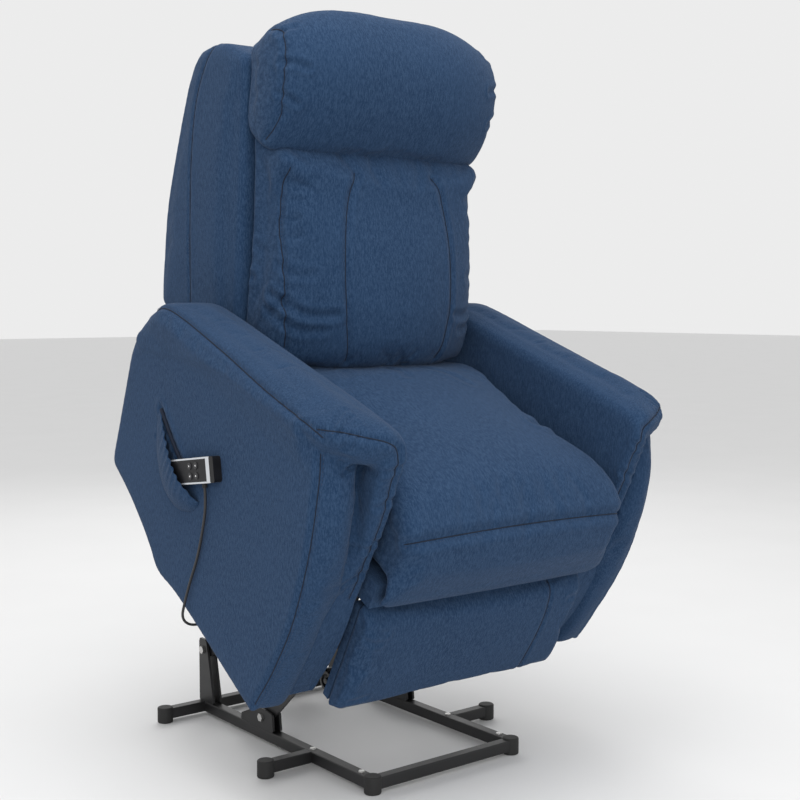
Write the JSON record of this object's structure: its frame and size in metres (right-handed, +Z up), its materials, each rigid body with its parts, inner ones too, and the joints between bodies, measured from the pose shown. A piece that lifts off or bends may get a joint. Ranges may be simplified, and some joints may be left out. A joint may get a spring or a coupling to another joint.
{
  "type": "lift recliner chair",
  "caption": "Upholstered powered lift recliner shown lifted and tilted forward on its steel floor frame, with a footrest, a reclining back, a bolster headrest and a corded handset.",
  "frame": {"origin": "middle of the overall box of the lifted chair, on the floor", "axes": "+Z up, the sitter faces -Y, the sitter's right hand and the handset are on -X"},
  "size_m": [0.82, 0.8585, 1.4138],
  "materials": {
    "upholstery": "matte",
    "black_steel": "satin",
    "plated_steel": "satin",
    "black_rubber": "matte",
    "black_plastic": "matte",
    "motor_housing": "satin",
    "gloss_black": "gloss",
    "silver_plastic": "satin",
    "cord_rubber": "matte",
    "timber": "matte"
  },
  "bodies": {
    "base": {"base_side_rails": "black_steel", "base_crossbars": "black_steel", "front_outriggers": "black_steel", "foot_glides": "black_rubber", "front_link_brackets": "black_steel", "rear_arm_uprights": "black_steel", "base_bolts": "plated_steel", "lift_motor_bracket": "black_steel"},
    "lift_arms": {"rear_lift_arms": "black_steel"},
    "chair": {"lift_pivot_plates": "black_steel", "seat_steel_rails": "black_steel", "seat_cross_tubes": "black_steel", "actuator_lugs": "black_steel", "seat_side_plates": "black_steel", "arm_mounting_bars": "black_steel", "seat_box": "timber", "seat_springs": "plated_steel", "seat_deck": "timber", "seat_cushion": "upholstery", "left_arm_frame": "timber", "left_arm_outer_panel": "upholstery", "left_arm_front_panel": "upholstery", "left_arm_inner_cover": "upholstery", "left_arm_pad": "upholstery", "right_arm_frame": "timber", "right_arm_outer_panel": "upholstery", "right_arm_front_panel": "upholstery", "right_arm_inner_cover": "upholstery", "right_arm_pad": "upholstery", "handset_pocket": "upholstery", "handset_case": "gloss_black", "handset_face": "gloss_black", "handset_band": "silver_plastic", "cord_glands": "black_plastic", "handset_cord": "cord_rubber", "control_box": "black_plastic", "mains_inlet": "black_plastic", "chair_pivot_bolts": "plated_steel"},
    "front_links": {"front_lift_links": "black_steel"},
    "lift_motor": {"lift_motor": "motor_housing"},
    "lift_rod": {"lift_motor_rod": "plated_steel"},
    "footrest_arms": {"footrest_drive_links": "black_steel"},
    "shin_links": {"footrest_shin_links": "black_steel"},
    "footrest": {"footrest_board": "timber", "footrest_brackets": "black_steel", "footrest_pad": "upholstery"},
    "guide_links": {"footrest_guide_links": "black_steel"},
    "board_links": {"footrest_board_links": "black_steel"},
    "backrest": {"back_shell": "upholstery", "back_frame": "timber", "back_hinge_brackets": "black_steel", "back_lever_tube": "black_steel", "back_cushion": "upholstery", "headrest_pillow": "upholstery"},
    "recline_motor": {"recline_motor": "motor_housing"},
    "recline_rod": {"recline_motor_rod": "plated_steel"},
    "lift_button_body": {"lift_button": "gloss_black"},
    "lower_button_body": {"lower_button": "gloss_black"},
    "recline_button_body": {"recline_button": "gloss_black"},
    "upright_button_body": {"upright_button": "gloss_black"}
  },
  "joints": [
    {"name": "lift", "type": "hinge", "parent": "base", "child": "lift_arms", "pos_m": [0, 0.403, 0.14], "axis": [1, 0, 0], "range_deg": [0, 26.83]},
    {"name": "chair_tilt", "type": "hinge", "parent": "lift_arms", "child": "chair", "pos_m": [0, -0.01142, 0.33702], "axis": [1, 0, 0], "range_deg": [-54.84, 0]},
    {"name": "front_link_swing", "type": "hinge", "parent": "base", "child": "front_links", "pos_m": [0, 0.173, 0.052], "axis": [1, 0, 0], "range_deg": [0, 36.71]},
    {"name": "lift_motor_swing", "type": "hinge", "parent": "base", "child": "lift_motor", "pos_m": [0, 0.408, 0.045], "axis": [1, 0, 0], "range_deg": [0, 27.96]},
    {"name": "lift_rod_slide", "type": "slide", "parent": "lift_motor", "child": "lift_rod", "axis": [0, -0.764, 0.6452], "range_m": [-0.07188, 0]},
    {"name": "recline", "type": "hinge", "parent": "chair", "child": "footrest_arms", "pos_m": [0, -0.14574, 0.41646], "axis": [1, 0, 0], "range_deg": [-125, 0]},
    {"name": "footrest_knee", "type": "hinge", "parent": "footrest_arms", "child": "shin_links", "pos_m": [0, 0.01859, 0.38154], "axis": [1, 0, 0], "range_deg": [0, 108.95]},
    {"name": "footrest_turn", "type": "hinge", "parent": "shin_links", "child": "footrest", "pos_m": [0, -0.17086, 0.27626], "axis": [1, 0, 0], "range_deg": [-63.95, 0]},
    {"name": "guide_link_swing", "type": "hinge", "parent": "chair", "child": "guide_links", "pos_m": [0, -0.10956, 0.43853], "axis": [1, 0, 0], "range_deg": [-120.45, 0]},
    {"name": "board_link_swing", "type": "hinge", "parent": "footrest_arms", "child": "board_links", "pos_m": [0, 0.05772, 0.37322], "axis": [1, 0, 0], "range_deg": [0, 100.01]},
    {"name": "back_recline", "type": "hinge", "parent": "chair", "child": "backrest", "pos_m": [0, 0.17552, 0.66429], "axis": [1, 0, 0], "range_deg": [-36.01, 0]},
    {"name": "recline_motor_swing", "type": "hinge", "parent": "chair", "child": "recline_motor", "pos_m": [0.085, -0.15307, 0.38765], "axis": [1, 0, 0], "range_deg": [0, 0.9637]},
    {"name": "recline_rod_slide", "type": "slide", "parent": "recline_motor", "child": "recline_rod", "axis": [0, 0.9082, 0.4186], "range_m": [-0.07188, 0]},
    {"name": "lift_press", "type": "slide", "parent": "chair", "child": "lift_button_body", "axis": [1, 0, 0], "range_m": [0, 0.001], "stiffness_N_per_m": 600},
    {"name": "lower_press", "type": "slide", "parent": "chair", "child": "lower_button_body", "axis": [1, 0, 0], "range_m": [0, 0.001], "stiffness_N_per_m": 600},
    {"name": "recline_press", "type": "slide", "parent": "chair", "child": "recline_button_body", "axis": [1, 0, 0], "range_m": [0, 0.001], "stiffness_N_per_m": 600},
    {"name": "upright_press", "type": "slide", "parent": "chair", "child": "upright_button_body", "axis": [1, 0, 0], "range_m": [0, 0.001], "stiffness_N_per_m": 600}
  ],
  "couplings": [
    {"joint": "chair_tilt", "follows": "lift", "ratio": -2.0438},
    {"joint": "front_link_swing", "follows": "lift", "ratio": 1.3682},
    {"joint": "lift_motor_swing", "follows": "lift", "ratio": 1.0418},
    {"joint": "lift_rod_slide", "follows": "lift", "m_per_rad": -0.15342},
    {"joint": "footrest_knee", "follows": "recline", "ratio": -0.8715},
    {"joint": "footrest_turn", "follows": "recline", "ratio": 0.5115},
    {"joint": "guide_link_swing", "follows": "recline", "ratio": 0.9635},
    {"joint": "board_link_swing", "follows": "recline", "ratio": -0.8},
    {"joint": "back_recline", "follows": "recline", "ratio": 0.288},
    {"joint": "recline_motor_swing", "follows": "recline", "ratio": -0.00763},
    {"joint": "recline_rod_slide", "follows": "recline", "m_per_rad": 0.032923}
  ]
}
